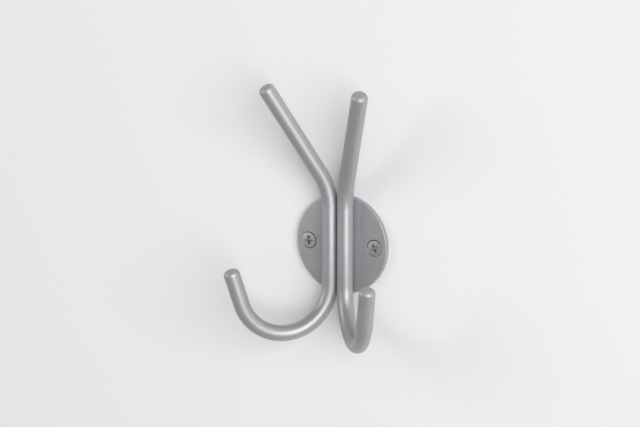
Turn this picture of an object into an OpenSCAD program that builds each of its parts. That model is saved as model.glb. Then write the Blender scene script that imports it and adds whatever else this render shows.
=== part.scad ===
// Double wall hook: two bent rods welded side by side on a round plate, held by two countersunk screws.
// Millimetres. The origin is the centre of the plate's back face, on the wall.
// +X is to the right, +Y goes into the wall and +Z is up, so the hooks reach towards -Y.

/* [Rods] */
// Diameter of the round bar
rod_d = 8; // [6:0.5:10]
// Space between the two rods where they run side by side
rod_gap = 0.4; // [0.2:0.1:3]
// Angle that each rod's plane turns sideways, away from straight out of the wall
splay_angle = 41; // [15:1:60]
// Depth of the flat that the weld leaves along the back of each rod
seat_depth = 0.2; // [0.1:0.1:0.8]
// Rounding of the cut ends
end_r = 2.5; // [0.3:0.1:3]
// How much thinner a bend is than the bar that it was drawn from
bend_draw = 0.02; // [0.01:0.01:0.1]

/* [Upper arms] */
// Height above the plate's centre where the rod starts to lean out
arm_bend_z = 18.5; // [10:0.5:35]
// Centreline radius of that bend
arm_bend_r = 32; // [16:1:60]
// Lean of the arm from the vertical
lean_angle = 32.5; // [10:0.5:60]
// Straight length of the arm, with its end
arm_l = 53; // [20:0.5:90]

/* [Lower hooks] */
// Depth below the plate's centre where the hook's bend starts
hook_bend_z = 19.5; // [10:0.5:35]
// Centreline radius of the hook
hook_r = 23.5; // [16:0.5:40]
// Angle that the hook turns through
sweep_angle = 162.5; // [120:0.5:180]
// Straight length at the hook's tip, with its end
hook_tip_l = 18.5; // [3:0.5:30]

/* [Plate] */
// Diameter of the plate
plate_d = 50; // [48:1:80]
// Thickness of the plate
plate_t = 3; // [2.5:0.5:6]
// Rounding of the plate's front edge
plate_edge_r = 0.5; // [0.1:0.1:1]

/* [Screw holes] */
// Distance from the plate's edge to a hole's centre
hole_edge = 6.5; // [6:0.5:9]
// Diameter of the clearance hole
hole_d = 4.8; // [4.4:0.1:6]
// Diameter of the countersink at the plate's face
sink_d = 8.6; // [8.4:0.1:10]
// Film of paint between a screw's head and its countersink
seat_gap = 0.05; // [0.02:0.01:0.1]

/* [Screws] */
// Outer diameter of the thread
screw_d = 4; // [3.5:0.1:4.2]
// Diameter of the plain neck under the head
neck_d = 3; // [2.6:0.1:3.4]
// Length from the head's face to the point
screw_l = 35; // [25:1:60]
// Diameter of the head
head_d = 7.8; // [7:0.1:8.2]
// Height of the head's straight edge, above its cone
head_rim = 0.3; // [0.2:0.1:0.7]
// Length of the plain neck between the head's cone and the thread
neck_l = 4; // [2:0.5:10]
// Length of the point
point_l = 4; // [2:0.5:8]
// Width of the cross recess, from tip to tip
recess_w = 4.4; // [3.6:0.1:5]
// Width of one wing of the recess
wing_w = 1.1; // [0.8:0.1:1.4]
// Depth of the recess
recess_depth = 2; // [1.2:0.1:2.2]
// Turn of the left screw's recess when tight
left_recess_angle = 4; // [0:1:89]
// Turn of the right screw's recess when tight
right_recess_angle = 30; // [0:1:89]

/* [Hidden] */
$fn = 96;
// Small overrun of a cutter past the face that it cuts
past = 0.1;
// Reach of a straight length into the bend that it runs on from
lap = 0.05;
rod_r = rod_d / 2;
// Distance of the rods' centrelines from the plate's middle and from the wall
rod_x = (rod_d + rod_gap) / 2;
rod_out = plate_t + rod_r - seat_depth;
hole_x = plate_d / 2 - hole_edge;
// Both cones are square, so a step in radius is the same step in depth
sink_depth = (sink_d - hole_d) / 2;
// Depth of a seated head's face below the plate's face
head_drop = (sink_d - head_d) / 2 - head_rim - seat_gap * sqrt(2);
cone_l = (head_d - neck_d) / 2;
thread_ramp = (screw_d - neck_d) / 2;

// Straight bar along +Z from a bend's end, with its own end rounded
module bar_to_end(length) {
    rotate_extrude() {
        translate([0, -lap]) square([rod_r - end_r, length + lap]);
        translate([0, -lap]) square([rod_r, length + lap - end_r]);
        translate([rod_r - end_r, length - end_r]) intersection() {
            circle(end_r);
            square(end_r);
        }
    }
}

// Bend in the XZ plane that starts at the origin, heads up and curls towards +X
module bend(radius, angle) {
    translate([radius, 0, 0]) mirror([1, 0, 0]) rotate([90, 0, 0])
        rotate_extrude(angle = angle)
            translate([radius, 0]) circle(rod_r - bend_draw / 2);
}

// What follows a bend, carried to the bend's far end and turned with it
module after_bend(radius, angle) {
    translate([radius * (1 - cos(angle)), 0, radius * sin(angle)])
        rotate([0, angle, 0]) children();
}

// One bent rod in the XZ plane, its straight middle on the Z axis and its bends towards +X
module bent_rod() {
    translate([0, 0, -hook_bend_z - lap])
        cylinder(r = rod_r, h = hook_bend_z + arm_bend_z + 2 * lap);
    translate([0, 0, arm_bend_z]) {
        bend(arm_bend_r, lean_angle);
        after_bend(arm_bend_r, lean_angle) bar_to_end(arm_l);
    }
    mirror([0, 0, 1]) translate([0, 0, hook_bend_z]) {
        bend(hook_r, sweep_angle);
        after_bend(hook_r, sweep_angle) bar_to_end(hook_tip_l);
    }
}

// The plate's outline before its holes are drilled, from the wall towards -Y
module plate_blank() {
    rotate([90, 0, 0]) rotate_extrude() {
        square([plate_d / 2 - plate_edge_r, plate_t]);
        square([plate_d / 2, plate_t - plate_edge_r]);
        translate([plate_d / 2 - plate_edge_r, plate_t - plate_edge_r]) intersection() {
            circle(plate_edge_r);
            square(plate_edge_r);
        }
    }
}

// A clearance hole and its countersink, cut back from the plate's face at the origin along -Z
module countersunk_hole() {
    translate([0, 0, -plate_t - past]) cylinder(d = hole_d, h = plate_t + 2 * past);
    translate([0, 0, -sink_depth])
        cylinder(d1 = hole_d, d2 = sink_d + 2 * past, h = sink_depth + past);
}

module wall_plate() {
    color("silver") difference() {
        plate_blank();
        for (side = [-1, 1])
            translate([side * hole_x, -plate_t, 0]) rotate([90, 0, 0]) countersunk_hole();
    }
}

// The right rod, splayed to the right and seated on the plate
module right_rod() {
    color("silver") difference() {
        translate([rod_x, -rod_out, 0]) rotate([0, 0, splay_angle - 90]) bent_rod();
        plate_blank();
    }
}

module left_rod() {
    mirror([1, 0, 0]) right_rod();
}

// Cross recess cut down from the origin: two crossed wings that narrow with depth, and a round middle
module cross_recess() {
    intersection() {
        translate([0, 0, -recess_depth])
            cylinder(r1 = wing_w, r2 = recess_w / 2, h = recess_depth + past);
        for (turn = [0, 90])
            rotate([0, 0, turn]) translate([-recess_w, -wing_w / 2, -recess_depth - past])
                cube([2 * recess_w, wing_w, recess_depth + 3 * past]);
    }
    translate([0, 0, -recess_depth])
        cylinder(r1 = wing_w / 3, r2 = wing_w, h = recess_depth + past);
}

// A countersunk screw with its head's face at the origin, pointing along -Z.
// The thread is drawn as the plain cylinder that it fills.
module screw(turn) {
    cone_end = -head_rim - cone_l;
    thread_top = cone_end - neck_l;
    color("gainsboro") difference() {
        rotate_extrude() polygon([
            [0, 0],
            [head_d / 2, 0],
            [head_d / 2, -head_rim],
            [neck_d / 2, cone_end],
            [neck_d / 2, thread_top],
            [screw_d / 2, thread_top - thread_ramp],
            [screw_d / 2, point_l - screw_l],
            [0, -screw_l]
        ]);
        rotate([0, 0, turn]) cross_recess();
    }
}

// A screw driven home in the hole on that side
module driven_screw(side, turn) {
    translate([side * hole_x, head_drop - plate_t, 0]) rotate([90, 0, 0]) screw(turn);
}

wall_plate();
left_rod();
right_rod();
driven_screw(-1, left_recess_angle);  // left_screw
driven_screw(1, right_recess_angle);  // right_screw
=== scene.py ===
# Double wall hook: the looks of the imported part, set up like its photograph.
# Metres, in the part's own frame: +X to the right, +Y into the wall and +Z up, with the middle of
# the plate's back at the origin.

from math import cos, pi, radians, sin, tan

import bmesh
import bpy
from mathutils import Matrix, Vector


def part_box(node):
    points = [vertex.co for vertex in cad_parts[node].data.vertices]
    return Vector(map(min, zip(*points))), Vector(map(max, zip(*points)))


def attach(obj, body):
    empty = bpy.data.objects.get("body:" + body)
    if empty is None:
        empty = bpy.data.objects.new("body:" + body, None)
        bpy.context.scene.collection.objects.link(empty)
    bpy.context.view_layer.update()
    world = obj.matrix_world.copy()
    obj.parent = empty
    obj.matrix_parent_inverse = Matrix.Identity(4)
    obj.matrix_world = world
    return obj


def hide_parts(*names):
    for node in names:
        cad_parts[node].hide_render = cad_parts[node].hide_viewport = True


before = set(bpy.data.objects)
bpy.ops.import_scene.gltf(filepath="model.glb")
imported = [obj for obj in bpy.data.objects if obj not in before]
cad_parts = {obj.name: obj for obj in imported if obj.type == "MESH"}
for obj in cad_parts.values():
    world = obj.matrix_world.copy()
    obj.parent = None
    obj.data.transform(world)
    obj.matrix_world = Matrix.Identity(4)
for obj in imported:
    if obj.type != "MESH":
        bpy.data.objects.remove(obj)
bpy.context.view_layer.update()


# Camera
# It stands thirty degrees to the right of the hook and a little above it, a metre away, with a
# telephoto lens.
camera_azimuth = radians(29.93)
camera_elevation = radians(11.97)
camera_distance = 0.9762
camera_aim = Vector((-0.01392, 0, 0.01348))
lens_mm = 110.3

scene = bpy.context.scene
scene.view_settings.view_transform = "Standard"


def direction(azimuth, elevation):
    """The way towards a place that stands at those angles, seen from the hook. Azimuth 0 is straight out."""
    level = cos(elevation)
    return Vector((sin(azimuth) * level, -cos(azimuth) * level, sin(elevation)))


def look_from(thing, place, aim):
    """Puts a camera or lamp at a place and turns it to the point that it aims at."""
    thing.location = place
    thing.rotation_euler = (aim - place).to_track_quat("-Z", "Y").to_euler()


camera_data = bpy.data.cameras.new("camera")
camera_data.sensor_width = 36
camera_data.lens = lens_mm
camera = bpy.data.objects.new("camera", camera_data)
scene.collection.objects.link(camera)
look_from(camera, camera_aim + direction(camera_azimuth, camera_elevation) * camera_distance, camera_aim)
scene.camera = camera


# Wall plate
# A round disc punched from 3 mm steel, with its front edge rounded and two screw holes countersunk.
# It is powder coated together with the rods, so the coat softens every edge a little.
plate_low, plate_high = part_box("wall_plate")
plate_r = plate_high.x
plate_t = -plate_low.y
plate_front_rounding = 0.0003
plate_back_rounding = 0.0002
screw_low, screw_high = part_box("right_screw")
hole_x = (screw_low.x + screw_high.x) / 2
hole_r = 0.0024
sink_r = 0.0043
sink_rounding = 0.00005
cut_past = 0.0005
out_of_wall = Matrix.Rotation(pi / 2, 4, "X")
coat_tone = 0.385
# How far the painted shade in the countersink grooves darkens the paint
groove_shade_tone = 0.25
coat_roughness = 0.41
cut_end_roughness = 0.24
coat_metallic = 0.7


def arc(centre, radius, start, end, steps=6):
    """Points along a round stretch of an outline, from one angle in degrees to another."""
    angles = [radians(start + (end - start) * i / steps) for i in range(steps + 1)]
    return [(centre[0] + radius * cos(a), centre[1] + radius * sin(a)) for a in angles]


def turned(name, outline, place, steps):
    """A solid turned on a lathe: the outline gives (radius, height) from the axis round to the axis."""
    shape = bmesh.new()
    rings = []
    for radius, height in outline:
        spots = 1 if radius == 0 else steps
        turns = [2 * pi * i / steps for i in range(spots)]
        rings.append([shape.verts.new((radius * cos(a), radius * sin(a), height)) for a in turns])
    for lower, upper in zip(rings, rings[1:]):
        for i in range(steps):
            corners = [lower[i % len(lower)], lower[(i + 1) % len(lower)]]
            corners += [upper[(i + 1) % len(upper)], upper[i % len(upper)]]
            shape.faces.new(list(dict.fromkeys(corners)))
    bmesh.ops.recalc_face_normals(shape, faces=shape.faces)
    shape.transform(place)
    mesh = bpy.data.meshes.new(name)
    shape.to_mesh(mesh)
    shape.free()
    thing = bpy.data.objects.new(name, mesh)
    scene.collection.objects.link(thing)
    return thing


def made_plain(source, name, material, crease=30):
    """The shape that an object's modifiers leave, as a plain mesh with smooth faces and crisp corners."""
    graph = bpy.context.evaluated_depsgraph_get()
    mesh = bpy.data.meshes.new_from_object(source.evaluated_get(graph), depsgraph=graph)
    bpy.data.objects.remove(source)
    mesh.name = name
    mesh.shade_smooth()
    mesh.set_sharp_from_angle(angle=radians(crease))
    mesh.materials.clear()
    mesh.materials.append(material)
    piece = bpy.data.objects.new(name, mesh)
    scene.collection.objects.link(piece)
    return piece


def add(tree, kind, inputs=None, **settings):
    """A new node in a tree. Its inputs are given by name, each as a value or as what feeds it."""
    node = tree.nodes.new(kind)
    for name, value in settings.items():
        setattr(node, name, value)
    for name, value in (inputs or {}).items():
        if isinstance(value, Number):
            value = value.socket
        if isinstance(value, bpy.types.Node):
            value = value.outputs[0]
        if isinstance(value, bpy.types.NodeSocket):
            tree.links.new(value, node.inputs[name])
        else:
            node.inputs[name].default_value = value
    return node


class Number:
    """A number inside a node tree, on which sums and products become Math nodes."""

    def __init__(self, tree, source):
        self.tree = tree
        self.socket = source.outputs[0] if isinstance(source, bpy.types.Node) else source

    def math(self, operation, *others):
        terms = dict(enumerate([self, *others]))
        return Number(self.tree, add(self.tree, "ShaderNodeMath", terms, operation=operation))

    def __add__(self, other):
        return self.math("ADD", other)

    def __sub__(self, other):
        return self.math("SUBTRACT", other)

    def __mul__(self, other):
        return self.math("MULTIPLY", other)

    def __truediv__(self, other):
        return self.math("DIVIDE", other)

    def sin(self):
        return self.math("SINE")

    def cos(self):
        return self.math("COSINE")

    def at_least(self, other):
        return self.math("MAXIMUM", other)

    def at_most(self, other):
        return self.math("MINIMUM", other)


def satin_paint():
    """Silver-grey powder coat: metal flake under a satin film, with the fine ripple of a baked coat.

    Painted shade darkens the paint on the countersinks' walls below the face, so the groove round
    each head shows dark. The coat is coarser on the rods' cut ends.
    """
    paint = bpy.data.materials.new("satin_grey_paint")
    paint.use_nodes = True
    tree = paint.node_tree
    shader = tree.nodes["Principled BSDF"]
    place = add(tree, "ShaderNodeTexCoord").outputs["Object"]
    flake = add(tree, "ShaderNodeTexNoise", {"Vector": place, "Scale": 9000.0, "Detail": 2.0})
    cloud = add(tree, "ShaderNodeTexNoise", {"Vector": place, "Scale": 120.0, "Detail": 3.0})
    ripple = add(tree, "ShaderNodeTexNoise", {
        "Vector": place, "Scale": 1800.0, "Detail": 2.0, "Roughness": 0.4})
    # Painted shade: inside each countersink, below the face, the paint is made darker for the shaded groove
    # round the head
    spot = add(tree, "ShaderNodeSeparateXYZ", {"Vector": place})
    across = Number(tree, spot.outputs["X"]).math("ABSOLUTE") - hole_x
    up = Number(tree, spot.outputs["Z"])
    near_hole = (across * across + up * up).math("LESS_THAN", (sink_r + sink_rounding) ** 2)
    below_face = Number(tree, spot.outputs["Y"]).math("GREATER_THAN", sink_rounding - plate_t)
    groove_shade = near_hole * below_face * (groove_shade_tone - 1.0) + 1.0
    grain = (Number(tree, flake) * 0.10 + Number(tree, cloud) * 0.05 + coat_tone) * groove_shade
    tone = add(tree, "ShaderNodeCombineColor", {"Red": grain * 0.985, "Green": grain, "Blue": grain * 1.02})
    tree.links.new(tone.outputs[0], shader.inputs["Base Color"])
    cut_end = Number(tree, add(tree, "ShaderNodeAttribute", attribute_name="cut_end").outputs["Fac"])
    rough = Number(tree, cloud) * 0.08 + Number(tree, flake) * 0.04 + coat_roughness
    rough = rough + cut_end * cut_end_roughness
    tree.links.new(rough.socket, shader.inputs["Roughness"])
    bump = add(tree, "ShaderNodeBump", {"Height": ripple, "Strength": 0.12, "Distance": 0.00005})
    tree.links.new(bump.outputs[0], shader.inputs["Normal"])
    shader.inputs["Metallic"].default_value = coat_metallic
    return paint


def countersink(side):
    """What the drill takes out of the plate: the clearance hole, the cone, and the soft edge at its rim."""
    sink_depth = sink_r - hole_r
    flat = sink_rounding * tan(radians(22.5))
    outline = [(0, -plate_t - cut_past), (hole_r, -plate_t - cut_past), (hole_r, -sink_depth)]
    outline += arc((sink_r + flat, -sink_rounding), sink_rounding, 135, 90, 3)
    outline += [(sink_r + flat, cut_past), (0, cut_past)]
    hole_place = Matrix.Translation((side * hole_x, -plate_t, 0))
    return turned("countersink", outline, hole_place @ out_of_wall, 72)


plate_outline = [(0, 0)]
plate_outline += arc((plate_r - plate_back_rounding, plate_back_rounding), plate_back_rounding, -90, 0, 3)
front_corner = (plate_r - plate_front_rounding, plate_t - plate_front_rounding)
plate_outline += arc(front_corner, plate_front_rounding, 0, 90)
plate_outline += [(0, plate_t)]
blank = turned("plate_blank", plate_outline, out_of_wall, 192)
drills = [countersink(-1), countersink(1)]
for drill in drills:
    hole = blank.modifiers.new("hole", "BOOLEAN")
    hole.object = drill
    hole.solver = "EXACT"
paint = satin_paint()
plate = made_plain(blank, "plate", paint)
for drill in drills:
    bpy.data.objects.remove(drill)
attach(plate, "root")
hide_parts("wall_plate")


# Bent rods
# Two lengths of 8 mm round bar, each bent once for the upper arm and once for the hook below, with
# rounded ends. They are welded side by side to the plate, which leaves a narrow flat along each back.
bar_d = 0.008
bar_gap = 0.0004
weld_flat = 0.0002
rod_sizes = {
    "Bar diameter": bar_d,
    "Middle from centre": (bar_d + bar_gap) / 2,
    "Middle from wall": plate_t + bar_d / 2 - weld_flat,
    "Splay": radians(41),
    "Arm bend start": 0.0185,
    "Arm bend radius": 0.032,
    "Arm bend angle": radians(32.5),
    "Arm length": 0.053,
    "Hook bend start": 0.0195,
    "Hook bend radius": 0.0235,
    "Hook bend angle": radians(162.5),
    "Hook tip length": 0.0185,
    "End rounding": 0.0025,
    "Plate thickness": plate_t,
    "Side": 1.0,
}
rings_along = 300
rings_on_end = 16
points_round = 64


def new_tree(name, sizes):
    """An empty geometry tree with a named input for each size and one for the material."""
    tree = bpy.data.node_groups.new(name, "GeometryNodeTree")
    tree.interface.new_socket("Geometry", in_out="INPUT", socket_type="NodeSocketGeometry")
    for size, value in sizes.items():
        tree.interface.new_socket(size, in_out="INPUT", socket_type="NodeSocketFloat").default_value = value
    tree.interface.new_socket("Finish", in_out="INPUT", socket_type="NodeSocketMaterial")
    tree.interface.new_socket("Geometry", in_out="OUTPUT", socket_type="NodeSocketGeometry")
    return tree, add(tree, "NodeGroupInput").outputs


def end_tree(tree, shape, given):
    """Closes a tree: what repeats becomes real, and everything takes the finish."""
    real = add(tree, "GeometryNodeRealizeInstances", {"Geometry": shape})
    dressed = add(tree, "GeometryNodeSetMaterial", {"Geometry": real, "Material": given["Finish"]})
    add(tree, "NodeGroupOutput", {"Geometry": dressed})
    return tree


def grown(name, tree, sizes, finish, start=None):
    """A piece made by a tree with its own sizes, as a plain mesh."""
    source = start or bpy.data.objects.new(name, bpy.data.meshes.new(name))
    if start is None:
        scene.collection.objects.link(source)
    modifier = source.modifiers.new(name, "NODES")
    modifier.node_group = tree
    for item in tree.interface.items_tree:
        if item.in_out == "INPUT" and item.name in sizes:
            modifier[item.identifier] = sizes[item.name]
        if item.in_out == "INPUT" and item.name == "Finish":
            modifier[item.identifier] = finish
    return made_plain(source, name, finish)


def bent_bar_tree():
    """A round bar swept along a line that goes straight, bends and goes straight again, both ways."""
    tree, given = new_tree("bent_bar", rod_sizes)
    size = {name: Number(tree, given[name]) for name in rod_sizes}
    zero = size["Side"] * 0.0
    one = zero + 1.0

    def bent(distance, which):
        """How far a point of the centreline is along and out, at a distance from the plate's centre."""
        straight, radius = size[which + " bend start"], size[which + " bend radius"]
        past_start = (distance - straight).at_least(0.0)
        turn = (past_start / radius).at_most(size[which + " bend angle"])
        run = past_start - turn * radius
        along = distance.at_least(0.0).at_most(straight) + radius * turn.sin() + run * turn.cos()
        out = radius * (one - turn.cos()) + run * turn.sin()
        return along, out

    # Rings stand close together on the rounded ends and evenly between them
    index = Number(tree, add(tree, "GeometryNodeInputIndex"))
    last = rings_along - 1
    from_start = (index / rings_on_end).at_most(1.0) * (pi / 2)
    from_end = ((zero + last - index) / rings_on_end).at_most(1.0) * (pi / 2)
    middle = ((index - rings_on_end) / (last - 2 * rings_on_end)).at_least(0.0).at_most(1.0)
    rounding = size["End rounding"]
    down = size["Hook bend start"] + size["Hook bend radius"] * size["Hook bend angle"]
    down = down + size["Hook tip length"]
    up = size["Arm bend start"] + size["Arm bend radius"] * size["Arm bend angle"]
    up = up + size["Arm length"]
    distance = rounding * (one - from_start.cos()) + middle * (up + down - rounding * 2.0)
    distance = distance + rounding * from_end.cos() - down
    thickness = size["Bar diameter"] / 2.0 - rounding * 2.0 + rounding * (from_start.sin() + from_end.sin())

    rise, arm_out = bent(distance, "Arm")
    drop, hook_out = bent(zero - distance, "Hook")
    out = arm_out + hook_out
    line = add(tree, "ShaderNodeCombineXYZ", {
        "X": (size["Middle from centre"] + out * size["Splay"].sin()) * size["Side"],
        "Y": zero - size["Middle from wall"] - out * size["Splay"].cos(),
        "Z": rise - drop,
    })
    path = add(tree, "GeometryNodeCurvePrimitiveLine")
    path = add(tree, "GeometryNodeResampleCurve", {"Curve": path, "Count": rings_along})
    path = add(tree, "GeometryNodeSetPosition", {"Geometry": path, "Position": line})

    # The rounded ends are marked, so that the coat can be coarser there
    to_tip = index.at_most(zero + last - index) / rings_on_end
    path = add(tree, "GeometryNodeStoreNamedAttribute", {
        "Geometry": path, "Name": "cut_end", "Value": one - to_tip.at_most(1.0)},
        data_type="FLOAT", domain="POINT")
    ring = add(tree, "GeometryNodeCurvePrimitiveCircle", {"Resolution": points_round, "Radius": 1.0})
    bar = add(tree, "GeometryNodeCurveToMesh", {
        "Curve": path, "Profile Curve": ring, "Scale": thickness, "Fill Caps": True})

    # The weld flat: nothing of the bar goes deeper than the plate's face
    spot = add(tree, "ShaderNodeSeparateXYZ", {"Vector": add(tree, "GeometryNodeInputPosition")})
    seat = Number(tree, spot.outputs["Y"]).at_most(zero - size["Plate thickness"])
    seated = add(tree, "ShaderNodeCombineXYZ", {"X": spot.outputs["X"], "Y": seat, "Z": spot.outputs["Z"]})
    bar = add(tree, "GeometryNodeSetPosition", {"Geometry": bar, "Position": seated})
    return end_tree(tree, bar, given)


bent_bar = bent_bar_tree()
for name, side in (("left", -1.0), ("right", 1.0)):
    rod = grown(name + "_bar", bent_bar, {**rod_sizes, "Side": side}, paint)
    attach(rod, "root")
    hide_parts(name + "_rod")


# Screws
# Countersunk 4 mm wood screws of zinc-plated steel, with a cross recess. Their heads sit in the
# plate's countersinks with their faces level with the paint, and their threads bite into the wall.
# Each was driven a hair off its hole's middle, so the groove round its head is wider on one side.
head_r = (screw_high.x - screw_low.x) / 2
head_rim = 0.0003
head_rounding = 0.0001
head_face_y = screw_low.y
neck_r = 0.0015
cone_end = -head_rim - (head_r - neck_r)
neck_l = 0.004
point_l = 0.004
point_r = 0.0002
bare_point_l = 0.0007
core_r = 0.0014
core_step = 0.0002
screw_l = screw_high.y - screw_low.y
screw_sizes = {
    "Core radius": core_r,
    "Thread radius": 0.002,
    "Pitch": 0.0018,
    "Thread top": cone_end - neck_l,
    "Point start": point_l - screw_l,
    "Thread end": bare_point_l - screw_l,
    "Recess width": 0.0044,
    "Wing width": 0.00115,
    "Recess depth": 0.002,
    "Across": 0.0,
    "Up": 0.0,
    "Turn": 0.0,
}
screws = {
    "left": {"hole": -hole_x, "aside": -0.00018, "up": 0.0, "turn": 4},
    "right": {"hole": hole_x, "aside": 0.0001, "up": -0.00012, "turn": 30},
}
thread_points = 640
ridge_root = 0.00015
wing_floor_share = 0.6
wing_mouth_share = 1.02
plating_tone = 0.54
plating_roughness = 0.30


def plated_steel():
    """Pale zinc plating: bright metal with the faint rings of turning and a cloudy sheen."""
    steel = bpy.data.materials.new("zinc_plated_steel")
    steel.use_nodes = True
    tree = steel.node_tree
    shader = tree.nodes["Principled BSDF"]
    place = add(tree, "ShaderNodeTexCoord").outputs["Object"]
    cloud = add(tree, "ShaderNodeTexNoise", {"Vector": place, "Scale": 900.0, "Detail": 4.0})
    own = add(tree, "ShaderNodeAttribute", attribute_name="own_place")
    rings = add(tree, "ShaderNodeTexWave", {
        "Vector": own.outputs["Vector"], "Scale": 1500.0, "Distortion": 1.5, "Detail": 2.0},
        wave_type="RINGS", rings_direction="Z")
    grain = Number(tree, cloud) * 0.16 + plating_tone
    tone = add(tree, "ShaderNodeCombineColor", {"Red": grain, "Green": grain, "Blue": grain * 1.01})
    tree.links.new(tone.outputs[0], shader.inputs["Base Color"])
    rough = Number(tree, cloud) * 0.2 + plating_roughness
    tree.links.new(rough.socket, shader.inputs["Roughness"])
    bump = add(tree, "ShaderNodeBump", {
        "Height": rings.outputs["Fac"], "Strength": 0.15, "Distance": 0.00003})
    tree.links.new(bump.outputs[0], shader.inputs["Normal"])
    shader.inputs["Metallic"].default_value = 1.0
    return steel


def screw_tree():
    """Adds the thread to a turned screw, cuts its cross recess, and drives it into the plate."""
    tree, given = new_tree("wood_screw", screw_sizes)
    size = {name: Number(tree, given[name]) for name in screw_sizes}
    zero = size["Pitch"] * 0.0
    one = zero + 1.0

    # The thread's ridge is a three-cornered bar wound round the core and thinned out at both ends
    share = Number(tree, add(tree, "GeometryNodeInputIndex")) / (thread_points - 1)
    height = size["Thread top"] + share * (size["Thread end"] - size["Thread top"])
    turn = height / size["Pitch"] * (2 * pi)
    to_point = ((height - size["Thread end"]) / (size["Point start"] - size["Thread end"])).at_most(1.0)
    run_in = ((size["Thread top"] - height) / size["Pitch"]).at_most(1.0)
    ridge_r = size["Thread radius"] - size["Core radius"] + ridge_root
    middle_r = (size["Thread radius"] - ridge_r) * (to_point * 0.9 + 0.1)
    line = add(tree, "ShaderNodeCombineXYZ", {
        "X": middle_r * turn.cos(), "Y": middle_r * turn.sin(), "Z": height})
    path = add(tree, "GeometryNodeCurvePrimitiveLine")
    path = add(tree, "GeometryNodeResampleCurve", {"Curve": path, "Count": thread_points})
    path = add(tree, "GeometryNodeSetPosition", {"Geometry": path, "Position": line})
    path = add(tree, "GeometryNodeSetCurveNormal", {"Curve": path}, mode="Z_UP")
    corner = add(tree, "GeometryNodeCurvePrimitiveCircle", {"Resolution": 3, "Radius": 1.0})
    ridge = add(tree, "GeometryNodeCurveToMesh", {
        "Curve": path, "Profile Curve": corner, "Fill Caps": True,
        "Scale": ridge_r * (run_in * 0.8 + 0.2) * (to_point * 0.6 + 0.4)})
    threaded = add(tree, "GeometryNodeMeshBoolean", {"Mesh 2": ridge}, operation="UNION", solver="EXACT")
    tree.links.new(given["Geometry"], threaded.inputs["Mesh 2"])

    # Two crossed wings that narrow with depth, and a round middle. Each wing is a four-cornered cone
    # whose radius gives it sides of one, stretched to the wing's size.
    wing_l, wing_w, depth = size["Recess width"], size["Wing width"], size["Recess depth"]
    corner_r = 0.5 ** 0.5
    cutters = []
    for across, along in ((wing_l, wing_w), (wing_w, wing_l)):
        wing = add(tree, "GeometryNodeMeshCone", {
            "Vertices": 4, "Depth": 1.0,
            "Radius Bottom": wing_floor_share * corner_r, "Radius Top": wing_mouth_share * corner_r})
        wing = add(tree, "GeometryNodeTransform", {"Geometry": wing, "Rotation": (0, 0, pi / 4)})
        reach = add(tree, "ShaderNodeCombineXYZ", {"X": across, "Y": along, "Z": depth * 1.05})
        down = add(tree, "ShaderNodeCombineXYZ", {"Z": zero - depth})
        cutters.append(add(tree, "GeometryNodeTransform", {
            "Geometry": wing, "Scale": reach, "Translation": down}))
    core = add(tree, "GeometryNodeMeshCone", {
        "Vertices": 24, "Radius Bottom": wing_w * 0.3, "Radius Top": wing_w, "Depth": depth * 1.15})
    down = add(tree, "ShaderNodeCombineXYZ", {"Z": zero - depth * 1.1})
    cutters.append(add(tree, "GeometryNodeTransform", {"Geometry": core, "Translation": down}))
    recess = add(tree, "GeometryNodeMeshBoolean", operation="UNION", solver="EXACT")
    for cutter in cutters:
        tree.links.new(cutter.outputs[0], recess.inputs["Mesh 2"])
    driven = add(tree, "GeometryNodeMeshBoolean", {
        "Mesh 1": threaded, "Mesh 2": recess}, operation="DIFFERENCE", solver="EXACT")

    # Each spot keeps its place on the screw for the marks of turning, and then goes to the plate
    marked = add(tree, "GeometryNodeStoreNamedAttribute", {
        "Geometry": driven, "Name": "own_place", "Value": add(tree, "GeometryNodeInputPosition")},
        data_type="FLOAT_VECTOR", domain="POINT")
    twist = add(tree, "ShaderNodeCombineXYZ", {"Z": size["Turn"]})
    marked = add(tree, "GeometryNodeTransform", {"Geometry": marked, "Rotation": twist})
    seat = add(tree, "ShaderNodeCombineXYZ", {"X": size["Across"], "Y": head_face_y, "Z": size["Up"]})
    seated = add(tree, "GeometryNodeTransform", {
        "Geometry": marked, "Rotation": (pi / 2, 0, 0), "Translation": seat})
    return end_tree(tree, seated, given)


screw_outline = [(0, -screw_l), (point_r, point_r / 2 - screw_l), (core_r, point_l - screw_l)]
screw_outline += [(core_r, screw_sizes["Thread top"] - core_step), (neck_r, screw_sizes["Thread top"])]
screw_outline += [(neck_r, cone_end), (head_r, -head_rim)]
screw_outline += arc((head_r - head_rounding, -head_rounding), head_rounding, 0, 90, 3)
screw_outline += [(0, 0)]
steel = plated_steel()
wood_screw = screw_tree()
for name, fit in screws.items():
    turned_blank = turned(name + "_screw_blank", screw_outline, Matrix.Identity(4), 72)
    place = {"Across": fit["hole"] + fit["aside"], "Up": fit["up"], "Turn": radians(fit["turn"])}
    sizes = {**screw_sizes, **place}
    screw = grown(name + "_wood_screw", wood_screw, sizes, steel, turned_blank)
    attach(screw, "root")
    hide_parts(name + "_screw")


# Wall behind the hook
# A pale painted wall that takes the hook's shadows. It has a hole just inside the plate's outline and
# is clear from behind, so that the plate's back and the screws show in views from there.
wall_half = 3.0
wall_hole_r = plate_r - plate_back_rounding
wall_y = 0.00002
wall_steps = 96
wall_tone = 0.90


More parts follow.
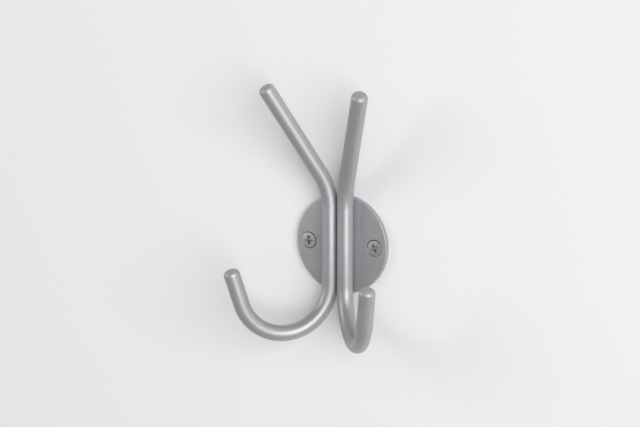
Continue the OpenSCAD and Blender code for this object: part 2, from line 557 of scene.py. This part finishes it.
def pale_wall():
    """Matt off-white wall paint with the faint texture of a roller, seen from the room only."""
    coat = bpy.data.materials.new("pale_wall")
    coat.use_nodes = True
    tree = coat.node_tree
    shader = tree.nodes["Principled BSDF"]
    output = tree.nodes["Material Output"]
    place = add(tree, "ShaderNodeTexCoord").outputs["Object"]
    stipple = add(tree, "ShaderNodeTexNoise", {"Vector": place, "Scale": 350.0, "Detail": 4.0})
    bump = add(tree, "ShaderNodeBump", {"Height": stipple, "Strength": 0.15, "Distance": 0.0003})
    tree.links.new(bump.outputs[0], shader.inputs["Normal"])
    shader.inputs["Base Color"].default_value = (wall_tone, wall_tone, wall_tone, 1)
    shader.inputs["Roughness"].default_value = 0.9
    shader.inputs["Specular IOR Level"].default_value = 0.1
    behind = add(tree, "ShaderNodeNewGeometry").outputs["Backfacing"]
    clear = add(tree, "ShaderNodeBsdfTransparent")
    shown = add(tree, "ShaderNodeMixShader", {0: behind, 1: shader, 2: clear})
    tree.links.new(shown.outputs[0], output.inputs["Surface"])
    return coat


shape = bmesh.new()
rims = []
for radius in (wall_hole_r, wall_half):
    turns = [2 * pi * i / wall_steps for i in range(wall_steps)]
    rims.append([shape.verts.new((radius * cos(a), wall_y, radius * sin(a))) for a in turns])
for i in range(wall_steps):
    after = (i + 1) % wall_steps
    shape.faces.new((rims[0][i], rims[0][after], rims[1][after], rims[1][i]))
for face in shape.faces:
    face.normal_update()
    if face.normal.y > 0:
        face.normal_flip()
wall_mesh = bpy.data.meshes.new("wall")
shape.to_mesh(wall_mesh)
shape.free()
wall = bpy.data.objects.new("wall", wall_mesh)
scene.collection.objects.link(wall)
wall_mesh.materials.append(pale_wall())


# Studio light
# A wide soft lamp on the right gives the bright stripe along each rod and the long soft shadows, a
# weaker one on the left gives the faint second stripe, and a pale room fills in the rest.
lamps = {
    "main_lamp": {
        "azimuth": 49, "elevation": 8, "width": 1.8, "height": 1.8, "share": 0.86, "tint": (0.99, 1, 1.01)},
    "left_lamp": {
        "azimuth": -52, "elevation": 15, "width": 1.7, "height": 1.6, "share": 0.27, "tint": (1, 1, 1)},
}
lamp_distance = 2.5
lamp_aim = Vector((0, -0.02, 0.01))
room_share = 0.30
room_fall = 0.15
for name, lamp in lamps.items():
    data = bpy.data.lights.new(name, "AREA")
    data.shape = "ELLIPSE"
    data.size = lamp["width"]
    data.size_y = lamp["height"]
    data.color = lamp["tint"]
    data.energy = lamp["share"] * (pi * lamp_distance) ** 2
    bulb = bpy.data.objects.new(name, data)
    bulb.visible_camera = False
    scene.collection.objects.link(bulb)
    way = direction(radians(lamp["azimuth"]), radians(lamp["elevation"]))
    look_from(bulb, lamp_aim + way * lamp_distance, lamp_aim)

# The room lights the hook a little, and less from above than from below
world = bpy.data.worlds.new("pale_room")
world.use_nodes = True
scene.world = world
tree = world.node_tree
way = add(tree, "ShaderNodeSeparateXYZ", {"Vector": add(tree, "ShaderNodeTexCoord").outputs["Generated"]})
strength = Number(tree, way.outputs["Z"]) * (-room_fall * room_share) + room_share
tree.links.new(strength.socket, tree.nodes["Background"].inputs["Strength"])
tree.nodes["Background"].inputs["Color"].default_value = (1, 1, 1, 1)
